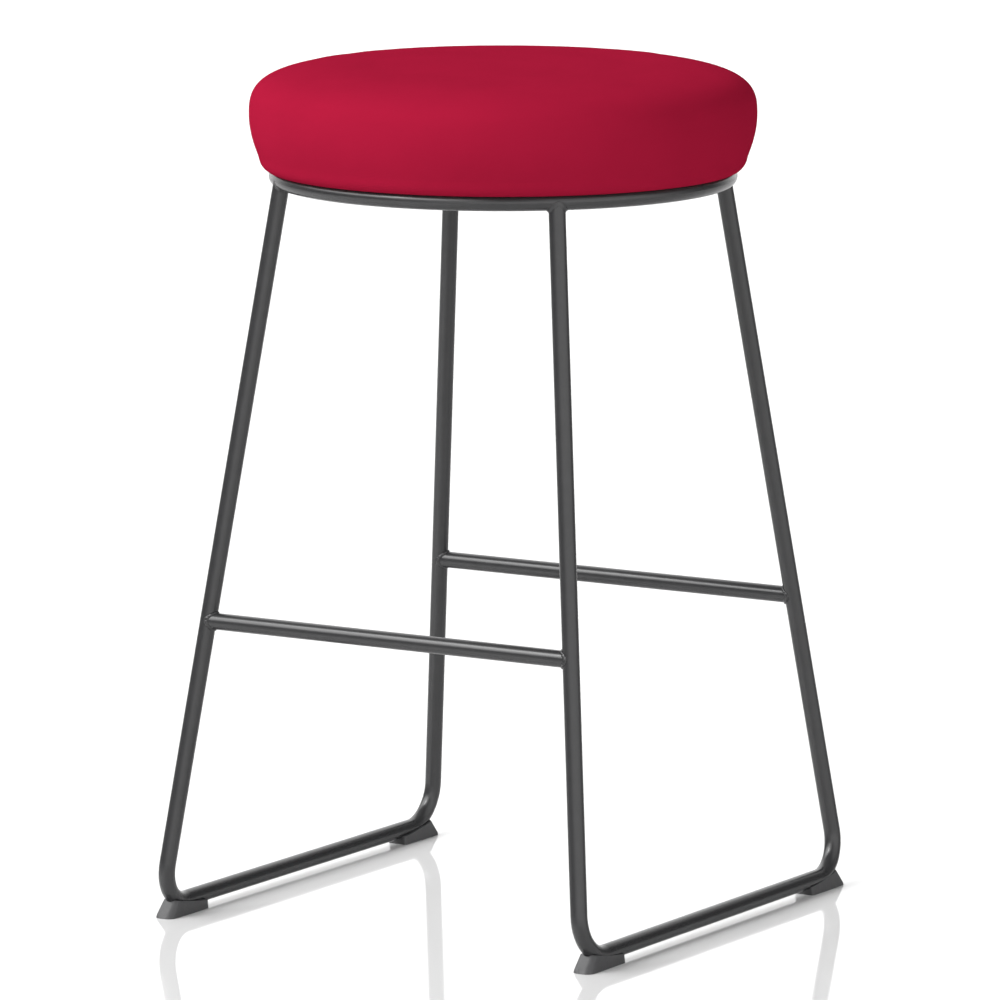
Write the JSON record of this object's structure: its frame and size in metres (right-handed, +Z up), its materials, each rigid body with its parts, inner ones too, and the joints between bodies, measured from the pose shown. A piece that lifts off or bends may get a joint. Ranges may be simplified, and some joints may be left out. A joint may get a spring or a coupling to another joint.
{
  "type": "counter stool",
  "caption": "Fixed counter-height stool: thick round upholstered seat on a sled base of bent round steel bar, with footrest bars and plastic floor glides.",
  "frame": {"origin": "on the floor under the middle of the seat", "axes": "+Z up, +X along the footrest bars, +Y along the floor rails towards the rear"},
  "size_m": [0.3854, 0.39, 0.6444],
  "materials": {
    "frame_steel": "satin",
    "glide_plastic": "matte",
    "zinc_steel": "satin",
    "plywood": "matte",
    "foam": "matte",
    "seat_fabric": "matte",
    "lining": "matte"
  },
  "bodies": {
    "root": {"seat_ring": "frame_steel", "sled_loop_left": "frame_steel", "sled_loop_right": "frame_steel", "footrest_bar_front": "frame_steel", "footrest_bar_rear": "frame_steel", "leg_welds": "frame_steel", "footrest_welds": "frame_steel", "mount_tab_right": "frame_steel", "mount_tab_rear": "frame_steel", "mount_tab_left": "frame_steel", "mount_tab_front": "frame_steel", "tab_welds": "frame_steel", "glide_front_left": "glide_plastic", "glide_front_right": "glide_plastic", "glide_rear_left": "glide_plastic", "glide_rear_right": "glide_plastic", "glide_screws": "zinc_steel", "seat_board": "plywood", "t_nuts": "zinc_steel", "seat_foam": "foam", "seat_cover": "seat_fabric", "dust_cover": "lining", "dust_cover_staples": "zinc_steel", "seat_screws": "zinc_steel", "seat_washers": "zinc_steel"}
  },
  "joints": []
}
